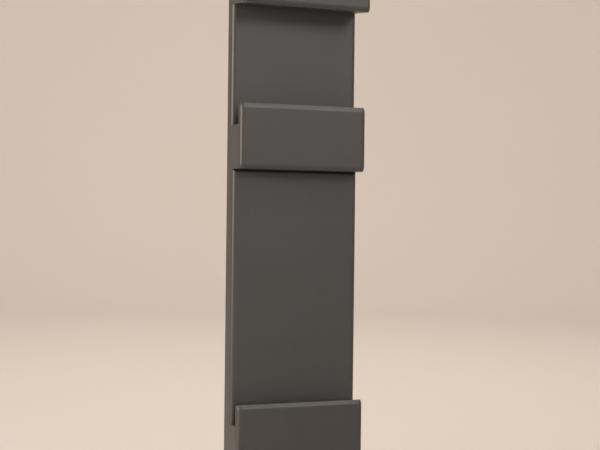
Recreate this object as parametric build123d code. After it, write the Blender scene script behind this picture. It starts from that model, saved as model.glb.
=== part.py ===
from build123d import *

import os

# Tool rail for a slotted pegboard: four pocket modules stacked on a hook strip.
# Millimetres. X runs across the rail, -Y is the front, +Z is up. The origin is on
# the back face, which lies on the pegboard, midway between the two middle hooks.

# Pegboard that the rail hangs on
SLOT_PITCH = 40.0
SLOT_HEIGHT = 15.0
BOARD_THICKNESS = 5.0

# Whole rail
RAIL_WIDTH = 24.3
MIDDLE_LEDGE_BOTTOM = 9.1  # underside of the second ledge
TOP_CORNER_R = 3.0
THIN_PLATE = 2.4  # above the second ledge
THICK_PLATE = 3.4  # below it

# One entry per module, from the top of the rail down
MODULES = [
    {"name": "module_top", "height": 39.6, "plate": THIN_PLATE, "front": 8.6, "pocket": 5.0},
    {"name": "module_upper", "height": 29.3, "plate": THIN_PLATE, "front": 7.0, "pocket": 3.75},
    {"name": "module_lower", "height": 53.0, "plate": THICK_PLATE, "front": 7.0, "pocket": 3.75},
    {"name": "module_bottom", "height": 53.0, "plate": THICK_PLATE, "front": 7.0, "pocket": 3.75},
]

# Ledge section, the same on every module
BLOCK_HEIGHT = 7.8  # underside of the ledge to the pocket floor
LIP_THICKNESS = 1.05
LIP_BACK_BEVEL = 0.2
EDGE_BEVEL_DEPTH = 0.35  # top front edge of the lip and bottom front edge of the block
EDGE_BEVEL_HEIGHT = 0.5
EDGE_BEVEL_R = 1.2
TOP_UNDERSIDE_DROP = 0.6  # fall of the top ledge's underside from the plate to its front
SEAM_BEVEL = 0.5  # top front edge of a thick plate, just under the ledge above it
POCKET_ROOT_R = 0.3
SIDE_R = 0.8  # where the fronts of the plate and the ledge turn to the sides of the rail
BACK_R = 0.4

# Hook strip, let into a groove in the back of the modules
STRIP_WIDTH = 16.0
STRIP_THICKNESS = 1.6
STRIP_TOP_MARGIN = 4.0
STRIP_BOTTOM_MARGIN = 2.0
STRIP_END_R = 2.0
FIT = 0.1  # clearance on each side of a printed fit

# Hooks, pushed through the strip from its front
HOOK_LEVELS = [1.5 * SLOT_PITCH, 0.5 * SLOT_PITCH, -0.5 * SLOT_PITCH, -1.5 * SLOT_PITCH]
HOOK_NAMES = ["hook_top", "hook_upper", "hook_lower", "hook_bottom"]
NECK_WIDTH = 4.6
NECK_HEIGHT = 8.0
NECK_TOP_R = 0.6
BOARD_GAP = BOARD_THICKNESS + 0.3
FINGER_THICKNESS = 3.0
FINGER_DROP = 6.5
FINGER_LEAD_IN = 1.2
FINGER_EDGE_R = 0.4
FOOT_WIDTH = 6.6
FOOT_HEIGHT = 12.0
FOOT_THICKNESS = 0.8
FOOT_CORNER_R = 0.8

# Countersunk screws, two per module, from the back through the strip into the ledge
SCREW_SPREAD = 5.6  # from the centre line of the rail to a screw
SCREW_ABOVE_BOTTOM = 3.8
SCREW_R = 1.0
SCREW_LENGTH = 5.0
SCREW_TIP = 0.6
SCREW_HEAD_R = 1.9
SCREW_HEAD_HEIGHT = 1.1
SCREW_FIT = 0.03
PILOT_EXTRA_DEPTH = 0.3
RECESS_LENGTH = 2.2
RECESS_WIDTH = 0.5
RECESS_DEPTH = 0.6

HALF_WIDTH = RAIL_WIDTH / 2
RAIL_TOP = MIDDLE_LEDGE_BOTTOM + MODULES[1]["height"] + MODULES[0]["height"]
RAIL_BOTTOM = RAIL_TOP - sum(module["height"] for module in MODULES)
STRIP_TOP = RAIL_TOP - STRIP_TOP_MARGIN
STRIP_BOTTOM = RAIL_BOTTOM + STRIP_BOTTOM_MARGIN
TINY = 0.01


def near(value, target):
    return abs(value - target) < TINY


def corners_at(face, depth, level):
    """Corners of a section that stand at this depth in front of the board and level."""
    return [v for v in face.vertices() if near(v.X, -depth) and near(v.Y, level)]


def slab(low, high):
    """Box between two opposite corners."""
    size = [b - a for a, b in zip(low, high)]
    middle = [(a + b) / 2 for a, b in zip(low, high)]
    return Pos(*middle) * Box(*size)


def module_section(module, bottom):
    """Section of a module across the rail: plate, ledge and upstanding lip."""
    top = bottom + module["height"]
    floor = bottom + BLOCK_HEIGHT
    lip_top = floor + module["pocket"]
    plate = module["plate"]
    front = module["front"]
    lip_back = front - LIP_THICKNESS
    plate_top = [(plate, top)]
    if plate > THIN_PLATE:
        plate_top = [(plate - SEAM_BEVEL, top), (plate, top - SEAM_BEVEL)]
    underside = [(front - EDGE_BEVEL_DEPTH, bottom)]
    if module is MODULES[0]:
        underside = [(front - EDGE_BEVEL_DEPTH, bottom - TOP_UNDERSIDE_DROP), (plate, bottom)]
    lip_shoulder = lip_top - EDGE_BEVEL_HEIGHT
    block_shoulder = underside[0][1] + EDGE_BEVEL_HEIGHT
    outline = [
        (0, bottom),
        (0, top),
        *plate_top,
        (plate, floor),
        (lip_back, floor),
        (lip_back, lip_top - LIP_BACK_BEVEL),
        (lip_back + LIP_BACK_BEVEL, lip_top),
        (front - EDGE_BEVEL_DEPTH, lip_top),
        (front, lip_shoulder),
        (front, block_shoulder),
        *underside,
    ]
    section = make_face(Polyline(*[(-depth, level) for depth, level in outline], close=True))
    rounds = [
        (lip_back, floor, POCKET_ROOT_R),
        (front, lip_shoulder, EDGE_BEVEL_R),
        (front, block_shoulder, EDGE_BEVEL_R),
    ]
    for depth, level, radius in rounds:
        section = fillet(corners_at(section, depth, level), radius)
    return section


def upright_end_edges(body, depth):
    """Vertical edges at the two sides of the rail, at this depth in front of the board."""
    upright = body.edges().filter_by(Axis.Z)
    return [
        e for e in upright
        if near(abs(e.center().X), HALF_WIDTH) and near(e.center().Y, -depth)
    ]


def screw_places(bottom):
    """Centres of a module's two screws on the back face."""
    return [(side * SCREW_SPREAD, bottom + SCREW_ABOVE_BOTTOM) for side in (-1, 1)]


def from_back(x, z, depth=0.0):
    """Frame on the back face whose own Z points into the rail."""
    return Plane(origin=(x, -depth, z), x_dir=(1, 0, 0), z_dir=(0, -1, 0))


def rod(x, z, radius, start, end):
    """Round bar into the rail, from one depth to another."""
    length = end - start
    return from_back(x, z, start + length / 2) * Cylinder(radius, length)


def round_top(body):
    """Round the two upper corners of the top module."""
    across = body.edges().filter_by(Axis.Y)
    corners = [
        e for e in across
        if near(abs(e.center().X), HALF_WIDTH) and near(e.center().Z, RAIL_TOP)
    ]
    return fillet(corners, TOP_CORNER_R)


def make_module(module, bottom):
    section = module_section(module, bottom)
    body = extrude(Plane.YZ * section, amount=HALF_WIDTH, both=True)
    if module is MODULES[0]:
        body = round_top(body)
    body = fillet(upright_end_edges(body, module["front"]), SIDE_R)
    body = fillet(upright_end_edges(body, module["plate"]), SIDE_R)
    body = fillet(upright_end_edges(body, 0), BACK_R)
    groove_half = STRIP_WIDTH / 2 + FIT
    body -= slab(
        (-groove_half, -STRIP_THICKNESS, STRIP_BOTTOM - FIT),
        (groove_half, 1, STRIP_TOP + FIT),
    )
    for x, z in screw_places(bottom):
        body -= rod(x, z, SCREW_R + SCREW_FIT, 0, SCREW_LENGTH + PILOT_EXTRA_DEPTH)
    return body


def neck_outline(slot_level, grow=0.0):
    """Outline of a hook's neck, seen along the neck: its underside is a half round."""
    bottom = slot_level - SLOT_HEIGHT / 2 - grow
    top = slot_level - SLOT_HEIGHT / 2 + NECK_HEIGHT + grow
    radius = NECK_WIDTH / 2 + grow
    upper = Pos(0, (bottom + radius + top) / 2) * Rectangle(2 * radius, top - bottom - radius)
    upper = fillet(upper.vertices().group_by(Axis.Y)[-1], NECK_TOP_R)
    return upper + Pos(0, bottom + radius) * Circle(radius)


def neck_bar(slot_level, start, end, grow=0.0):
    """The neck as a bar from one Y to another."""
    face = Plane.XZ * neck_outline(slot_level, grow)
    return Pos(0, start, 0) * extrude(face, amount=-(end - start))


def foot_plate(slot_level, grow=0.0):
    """The hook's foot, which lies in the front of the strip."""
    middle = slot_level - SLOT_HEIGHT / 2 + NECK_HEIGHT / 2
    size = (FOOT_WIDTH + 2 * grow, FOOT_HEIGHT + 2 * grow)
    face = Pos(0, middle) * RectangleRounded(*size, FOOT_CORNER_R)
    return Pos(0, -STRIP_THICKNESS, 0) * extrude(Plane.XZ * face, amount=-FOOT_THICKNESS)


def make_finger(slot_level):
    """The part of a hook that hangs down behind the board."""
    top = slot_level - SLOT_HEIGHT / 2 + NECK_HEIGHT
    tip = slot_level - SLOT_HEIGHT / 2 - FINGER_DROP
    back = BOARD_GAP + FINGER_THICKNESS
    profile = make_face(Polyline(
        (BOARD_GAP, top),
        (BOARD_GAP, tip + 2 * FINGER_LEAD_IN),
        (BOARD_GAP + FINGER_LEAD_IN, tip),
        (back - FINGER_LEAD_IN, tip),
        (back, tip + FINGER_LEAD_IN),
        (back, top - FINGER_LEAD_IN),
        (back - FINGER_LEAD_IN, top),
        close=True,
    ))
    finger = extrude(Plane.YZ * profile, amount=NECK_WIDTH / 2, both=True)
    upright = finger.edges().filter_by(Axis.Z)
    return fillet([e for e in upright if near(e.center().Y, back)], FINGER_EDGE_R)


def make_hook(slot_level):
    start = -STRIP_THICKNESS + FOOT_THICKNESS / 2
    end = BOARD_GAP + FINGER_THICKNESS / 2
    return neck_bar(slot_level, start, end) + foot_plate(slot_level) + make_finger(slot_level)


def make_screw(x, z):
    """Countersunk cross-head screw with its head flush with the back face."""
    shank = rod(x, z, SCREW_R, 0, SCREW_LENGTH - SCREW_TIP)
    tip_middle = SCREW_LENGTH - SCREW_TIP / 2
    tip = from_back(x, z, tip_middle) * Cone(SCREW_R, SCREW_R / 2, SCREW_TIP)
    head_middle = SCREW_HEAD_HEIGHT / 2
    head = from_back(x, z, head_middle) * Cone(SCREW_HEAD_R, SCREW_R, SCREW_HEAD_HEIGHT)
    screw = shank + tip + head
    for size in ((RECESS_LENGTH, RECESS_WIDTH), (RECESS_WIDTH, RECESS_LENGTH)):
        screw -= from_back(x, z) * Box(*size, 2 * RECESS_DEPTH)
    return screw


def make_strip(bottoms):
    outline = RectangleRounded(STRIP_WIDTH, STRIP_TOP - STRIP_BOTTOM, STRIP_END_R)
    face = Plane.XZ * (Pos(0, (STRIP_TOP + STRIP_BOTTOM) / 2) * outline)
    strip = extrude(face, amount=STRIP_THICKNESS)
    for slot_level in HOOK_LEVELS:
        strip -= foot_plate(slot_level, FIT)
        strip -= neck_bar(slot_level, -STRIP_THICKNESS, 1, FIT)
    for bottom in bottoms:
        for x, z in screw_places(bottom):
            strip -= rod(x, z, SCREW_R + SCREW_FIT, 0, STRIP_THICKNESS)
            sink = from_back(x, z, SCREW_HEAD_HEIGHT / 2)
            strip -= sink * Cone(SCREW_HEAD_R + SCREW_FIT, SCREW_R + SCREW_FIT, SCREW_HEAD_HEIGHT)
    return strip


os.makedirs("parts", exist_ok=True)

pieces = {}
bottoms = []
level = RAIL_TOP
for module in MODULES:
    level -= module["height"]
    bottoms.append(level)
    pieces[module["name"]] = make_module(module, level)
pieces["hook_strip"] = make_strip(bottoms)
for name, slot_level in zip(HOOK_NAMES, HOOK_LEVELS):
    pieces[name] = make_hook(slot_level)
places = [place for bottom in bottoms for place in screw_places(bottom)]
pieces["module_screws"] = Compound(children=[make_screw(x, z) for x, z in places])

for name, solid in pieces.items():
    export_step(solid, f"parts/{name}.step")
    box = solid.bounding_box()
    print(name, [round(v, 2) for v in (*box.min, *box.max)], round(solid.volume, 1))
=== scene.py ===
import math

import bpy
from mathutils import Euler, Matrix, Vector


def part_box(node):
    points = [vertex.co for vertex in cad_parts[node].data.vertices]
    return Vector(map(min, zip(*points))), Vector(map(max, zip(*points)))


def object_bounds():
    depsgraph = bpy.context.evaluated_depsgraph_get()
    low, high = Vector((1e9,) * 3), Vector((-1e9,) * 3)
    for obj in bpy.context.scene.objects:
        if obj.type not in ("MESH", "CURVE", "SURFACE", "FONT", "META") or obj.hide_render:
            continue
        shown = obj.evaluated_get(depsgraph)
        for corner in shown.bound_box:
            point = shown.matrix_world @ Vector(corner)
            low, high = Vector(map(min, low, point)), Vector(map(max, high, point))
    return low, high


MM = 0.001

# Camera: to the left of the rail, level with the origin
CAMERA_AT = Vector((-94.04, -222.79, 0.63)) * MM
CAMERA_TURN = (89.68, -0.66, -23.39)  # degrees about X, Y and Z
CAMERA_LENS = 79.4
CAMERA_SENSOR = 36.0

# Studio: a floor that curves up into a low wall all round, open above
STUDIO_FLOOR_R = 1.1
STUDIO_COVE_R = 0.5
STUDIO_WALL_TOP = 1.3
STUDIO_SPOKES = 96
COVE_STEPS = 14

# Colours of the lights
WARM = (1.0, 0.84, 0.71)
NEUTRAL = (1.0, 0.97, 0.95)
AIR_STRENGTH = 0.05

# Printed plastic
LAYER = 0.2 * MM
EXTRUSION = 0.6 * MM
RELIEF_DEPTH = 0.012 * MM  # layer ridges and extrusion lines
WAVE_DEPTH = 0.05 * MM
SKIN_FACING = 0.95  # how squarely a face has to lie across the layers to be a skin
RAIL_GREY = (0.062, 0.061, 0.061, 1)
DARKEST = 0.72  # shades of the plastic's own grey
PALEST = 1.28
# Pale shade along the lip tops: rub wear together with a painted highlight on their top edges
RUBBED_AND_HIGHLIGHT_PALE = 2.0
RUBBED_AND_HIGHLIGHT_REACH = 0.7 * MM
DUST = (0.30, 0.28, 0.26, 1)
DUST_REACH = 0.4 * MM

# Zinc plate
ZINC_DULL = (0.42, 0.42, 0.43, 1)
ZINC_BRIGHT = (0.66, 0.66, 0.67, 1)
ZINC_RELIEF = 0.01 * MM

# Studio paint
PAINT_DARK = (0.88, 0.87, 0.86, 1)
PAINT_LIGHT = (0.91, 0.90, 0.89, 1)

# Levels of every ledge, above the bottom of its module
FLOOR_LEVEL = 7.8 * MM
LIP_TOP_LEVEL = 11.55 * MM

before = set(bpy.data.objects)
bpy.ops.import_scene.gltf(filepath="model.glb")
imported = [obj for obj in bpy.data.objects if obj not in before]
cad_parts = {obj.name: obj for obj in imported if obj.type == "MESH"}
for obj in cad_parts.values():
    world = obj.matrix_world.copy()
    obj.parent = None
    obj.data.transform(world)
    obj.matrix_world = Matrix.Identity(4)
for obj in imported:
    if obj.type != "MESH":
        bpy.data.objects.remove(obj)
cad_low, cad_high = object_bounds()

MODULES = [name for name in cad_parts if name.startswith("module_") and name != "module_screws"]
HOOKS = [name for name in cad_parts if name.startswith("hook_") and name != "hook_strip"]
LOWER_MODULES = [name for name in MODULES if name != "module_top"]
MODULE_BOTTOMS = [cad_low.z] + [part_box(name)[1].z for name in LOWER_MODULES]


# ---------------------------------------------------------------- node helpers

def new_material(name):
    """A material with a node tree of its own."""
    material = bpy.data.materials.new(name)
    material.use_nodes = True
    return material


def shade_of(colour, factor):
    """The same colour, darker or paler."""
    return tuple(factor * part for part in colour[:3]) + (1,)


class Nodes:
    """Short calls for building one material's node tree."""

    def __init__(self, material):
        self.tree = material.node_tree
        self.shader = self.tree.nodes["Principled BSDF"]

    def add(self, kind, **values):
        node = self.tree.nodes.new(kind)
        for name, value in values.items():
            if name in node.inputs:
                node.inputs[name].default_value = value
            else:
                setattr(node, name, value)
        return node

    def join(self, source, target):
        self.tree.links.new(source, target)

    def math(self, operation, first, second=None, third=None, clamp=False):
        node = self.add("ShaderNodeMath", operation=operation, use_clamp=clamp)
        for socket, value in zip(node.inputs, (first, second, third)):
            if value is None:
                continue
            if isinstance(value, (int, float)):
                socket.default_value = value
            else:
                self.join(value, socket)
        return node.outputs[0]

    def mix_colour(self, factor, dark, light):
        node = self.add("ShaderNodeMix", data_type="RGBA")
        factor_in, dark_in, light_in = node.inputs[0], node.inputs[6], node.inputs[7]
        for socket, value in ((factor_in, factor), (dark_in, dark), (light_in, light)):
            if isinstance(value, (tuple, int, float)):
                socket.default_value = value
            else:
                self.join(value, socket)
        return node.outputs[2]

    def coordinates(self):
        node = self.add("ShaderNodeTexCoord")
        return node.outputs["Object"]

    def split(self, vector):
        node = self.add("ShaderNodeSeparateXYZ")
        self.join(vector, node.inputs[0])
        return node.outputs

    def stretched(self, vector, scale):
        node = self.add("ShaderNodeMapping")
        node.inputs["Scale"].default_value = scale
        self.join(vector, node.inputs["Vector"])
        return node.outputs[0]

    def noise(self, vector, scale, detail=3.0, roughness=0.5):
        node = self.add("ShaderNodeTexNoise", Scale=scale, Detail=detail, Roughness=roughness)
        self.join(vector, node.inputs["Vector"])
        return node.outputs[0]

    def bump(self, height, distance, strength=1.0, under=None):
        node = self.add("ShaderNodeBump", Distance=distance, Strength=strength)
        self.join(height, node.inputs["Height"])
        if under is not None:
            self.join(under, node.inputs["Normal"])
        return node.outputs[0]


# ---------------------------------------------------------------- materials

def ledge_mask(n, height, above_bottom, reach):
    """1 at one level of every ledge, falling to 0 over a reach above and below it."""
    mask = 0.0
    for bottom in MODULE_BOTTOMS:
        away = n.math("ABSOLUTE", n.math("SUBTRACT", height, bottom + above_bottom))
        near = n.math("SUBTRACT", 1.0, n.math("DIVIDE", away, reach), clamp=True)
        mask = n.math("ADD", near, mask)
    return mask


def printed_plastic(name, across, base):
    """Matt printed plastic whose layers are stacked along one axis: 0 for X, 1 for Y."""
    material = new_material(name)
    n = Nodes(material)
    place = n.coordinates()
    axes = n.split(place)

    # Layer ridges: one soft rib for each layer, with a slow wander from layer to layer
    rib = n.math("SINE", n.math("MULTIPLY", axes[across], 2 * math.pi / LAYER))
    squeeze = [60.0, 60.0, 60.0]
    squeeze[across] = 5000.0
    wander = n.noise(n.stretched(place, tuple(squeeze)), 1.0, detail=2.0)
    ribs = n.math("MULTIPLY_ADD", rib, 0.25, wander)

    # The faces that lie across the layers are flat skins with close extrusion lines
    facing = n.split(n.add("ShaderNodeNewGeometry").outputs["True Normal"])[across]
    skin = n.math("GREATER_THAN", n.math("ABSOLUTE", facing), SKIN_FACING)
    diagonal = n.math("ADD", axes[2], axes[1 - across])
    lines = n.math("SINE", n.math("MULTIPLY", diagonal, 2 * math.pi / EXTRUSION))
    pebble = n.noise(place, 2600.0, detail=2.0)
    skin_height = n.math("MULTIPLY_ADD", lines, 0.08, pebble)
    height_mix = n.add("ShaderNodeMix", data_type="FLOAT")
    n.join(skin, height_mix.inputs[0])
    n.join(ribs, height_mix.inputs[2])
    n.join(skin_height, height_mix.inputs[3])
    relief = n.bump(height_mix.outputs[0], RELIEF_DEPTH, strength=0.6)

    # Uneven cooling: very shallow waves, a few millimetres long
    waves = n.noise(n.stretched(place, (220.0, 220.0, 120.0)), 1.0, detail=1.0)
    relief = n.bump(waves, WAVE_DEPTH, strength=0.5, under=relief)

    # Colour drifts over the print in faint upright streaks and level bands, with fine specks
    drift = n.noise(n.stretched(place, (60.0, 60.0, 18.0)), 1.0, detail=2.0)
    streaks = n.noise(n.stretched(place, (700.0, 300.0, 14.0)), 1.0, detail=3.0)
    bands = n.noise(n.stretched(place, (16.0, 200.0, 420.0)), 1.0, detail=2.0)
    specks = n.noise(place, 1800.0, detail=4.0, roughness=0.6)
    shade = n.math("MULTIPLY_ADD", specks, 0.25, n.math("MULTIPLY", drift, 0.3))
    shade = n.math("MULTIPLY_ADD", streaks, 0.25, shade)
    shade = n.math("MULTIPLY_ADD", bands, 0.2, shade, clamp=True)
    colour = n.mix_colour(shade, shade_of(base, DARKEST), shade_of(base, PALEST))

    # Tools that go in and out rub the lips pale, in short broken scuffs along them; this paler
    # band along the lip tops is also a painted highlight on their top edges
    scuffs_and_highlight = n.noise(n.stretched(place, (500.0, 2500.0, 2500.0)), 1.0, detail=4.0, roughness=0.7)
    broken = n.math("MULTIPLY", n.math("SUBTRACT", scuffs_and_highlight, 0.5), 5.0, clamp=True)
    lip_tops = ledge_mask(n, axes[2], LIP_TOP_LEVEL, RUBBED_AND_HIGHLIGHT_REACH)
    rubbed_and_highlight = n.math("MULTIPLY", n.math("MULTIPLY", lip_tops, broken, clamp=True), 0.5)
    colour = n.mix_colour(rubbed_and_highlight, colour, shade_of(base, RUBBED_AND_HIGHLIGHT_PALE))

    # A little dust: sparse pale grains, thicker on the pocket floors
    grains = n.noise(place, 3300.0, detail=1.0)
    floors = ledge_mask(n, axes[2], FLOOR_LEVEL, DUST_REACH)
    settled = n.math("MULTIPLY_ADD", floors, -0.06, 0.79)
    dust = n.math("MULTIPLY", n.math("SUBTRACT", grains, settled), 12.0, clamp=True)
    colour = n.mix_colour(dust, colour, DUST)
    n.join(colour, n.shader.inputs["Base Color"])

    # Roughness follows the layers, the scuffs with their painted highlight, and the dust
    gloss = n.math("MULTIPLY_ADD", wander, 0.10, 0.30)
    gloss = n.math("MULTIPLY_ADD", drift, 0.10, gloss)
    gloss = n.math("MULTIPLY_ADD", rubbed_and_highlight, -0.12, gloss)
    gloss = n.math("MULTIPLY_ADD", dust, 0.3, gloss, clamp=True)
    n.join(gloss, n.shader.inputs["Roughness"])
    n.join(relief, n.shader.inputs["Normal"])
    n.shader.inputs["Specular IOR Level"].default_value = 0.5
    return material


def zinc_steel(name):
    """Zinc plate on small screws, bright in places and dull in others."""
    material = new_material(name)
    n = Nodes(material)
    place = n.coordinates()
    cast = n.noise(place, 900.0, detail=3.0)
    n.join(n.mix_colour(cast, ZINC_DULL, ZINC_BRIGHT), n.shader.inputs["Base Color"])
    n.join(n.math("MULTIPLY_ADD", cast, 0.2, 0.25), n.shader.inputs["Roughness"])
    n.join(n.bump(n.noise(place, 6000.0), ZINC_RELIEF), n.shader.inputs["Normal"])
    n.shader.inputs["Metallic"].default_value = 1.0
    return material


def studio_paint():
    """Pale matt paint of the floor and wall, with a faint mottle."""
    material = new_material("studio_paint")
    n = Nodes(material)
    mottle = n.noise(n.coordinates(), 3.0, detail=3.0)
    n.join(n.mix_colour(mottle, PAINT_DARK, PAINT_LIGHT), n.shader.inputs["Base Color"])
    n.shader.inputs["Roughness"].default_value = 0.9
    n.shader.inputs["Specular IOR Level"].default_value = 0.1
    return material


# ---------------------------------------------------------------- studio

def studio_profile(floor):
    """Radius and height of the studio from the middle of the floor to the top of the wall."""
    points = [(0.0, floor), (STUDIO_FLOOR_R, floor)]
    for step in range(1, COVE_STEPS + 1):
        angle = math.pi / 2 * step / COVE_STEPS
        radius = STUDIO_FLOOR_R + STUDIO_COVE_R * math.sin(angle)
        points.append((radius, floor + STUDIO_COVE_R * (1 - math.cos(angle))))
    points.append((STUDIO_FLOOR_R + STUDIO_COVE_R, floor + STUDIO_WALL_TOP))
    return points


def make_studio(floor):
    """Round floor with a wall, turned about the upright axis from its profile."""
    profile = studio_profile(floor)
    vertices = [(0.0, 0.0, profile[0][1])]
    for radius, height in profile[1:]:
        for spoke in range(STUDIO_SPOKES):
            angle = 2 * math.pi * spoke / STUDIO_SPOKES
            vertices.append((radius * math.cos(angle), radius * math.sin(angle), height))
    faces = []
    for spoke in range(STUDIO_SPOKES):
        beside = (spoke + 1) % STUDIO_SPOKES
        faces.append((0, 1 + spoke, 1 + beside))
        for ring in range(len(profile) - 2):
            inner = 1 + ring * STUDIO_SPOKES
            outer = inner + STUDIO_SPOKES
            faces.append((inner + spoke, outer + spoke, outer + beside, inner + beside))
    mesh = bpy.data.meshes.new("studio")
    mesh.from_pydata(vertices, [], faces)
    mesh.polygons.foreach_set("use_smooth", [True] * len(faces))
    studio = bpy.data.objects.new("studio", mesh)
    bpy.context.scene.collection.objects.link(studio)
    mesh.materials.append(studio_paint())


def add_light(name, at, aim, size, power, colour, cone):
    """Square soft light that shines from one place to another, in a cone of so many degrees."""
    data = bpy.data.lights.new(name, "AREA")
    data.size = size
    data.energy = power
    data.color = colour
    data.spread = math.radians(cone)
    light = bpy.data.objects.new(name, data)
    light.location = at
    light.rotation_euler = (Vector(aim) - Vector(at)).to_track_quat("-Z", "Y").to_euler()
    light.visible_camera = False
    bpy.context.scene.collection.objects.link(light)


def add_lights():
    """Four lights for the rail, then two that fall on the wall behind and in front of it."""
    add_light("key", (-0.63, -0.12, 0.15), (0, 0, 0), 0.3, 0.86, WARM, cone=75)
    add_light("sheen", (0.20, -0.46, 0.30), (0, 0, 0.07), 0.28, 0.086, NEUTRAL, cone=35)
    add_light("fill", (0.05, -0.50, 0.02), (0, 0, 0.07), 0.2, 0.0155, NEUTRAL, cone=40)
    add_light("top", (0.21, -0.22, 0.44), (0, 0, 0), 0.2, 0.70, WARM, cone=180)
    add_light("wash", (0.0, 0.1, 0.95), (0.5, 1.3, 0), 0.5, 6.4, WARM, cone=125)
    add_light("front_wash", (0.0, -0.1, 0.95), (-0.5, -1.3, 0), 0.5, 0.5, WARM, cone=125)


def set_world():
    world = bpy.data.worlds.new("studio_air")
    bpy.context.scene.world = world
    world.use_nodes = True
    sky = world.node_tree.nodes["Background"]
    sky.inputs["Color"].default_value = (*WARM, 1)
    sky.inputs["Strength"].default_value = AIR_STRENGTH


def add_camera():
    data = bpy.data.cameras.new("camera")
    data.lens = CAMERA_LENS
    data.sensor_width = CAMERA_SENSOR
    data.clip_start = 0.01
    camera = bpy.data.objects.new("camera", data)
    camera.location = CAMERA_AT
    camera.rotation_euler = Euler([math.radians(angle) for angle in CAMERA_TURN])
    bpy.context.scene.collection.objects.link(camera)
    bpy.context.scene.camera = camera


# ---------------------------------------------------------------- the object

def dress(material, *names):
    """Gives CAD nodes their material."""
    for name in names:
        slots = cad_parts[name].data.materials
        slots.clear()
        slots.append(material)


dress(printed_plastic("rail_plastic", 0, RAIL_GREY), *MODULES)
dress(printed_plastic("hook_plastic", 0, RAIL_GREY), *HOOKS)
dress(printed_plastic("strip_plastic", 1, RAIL_GREY), "hook_strip")
dress(zinc_steel("screw_steel"), "module_screws")

bpy.context.scene.view_settings.view_transform = "Standard"
set_world()
add_lights()
add_camera()
make_studio(cad_low.z)
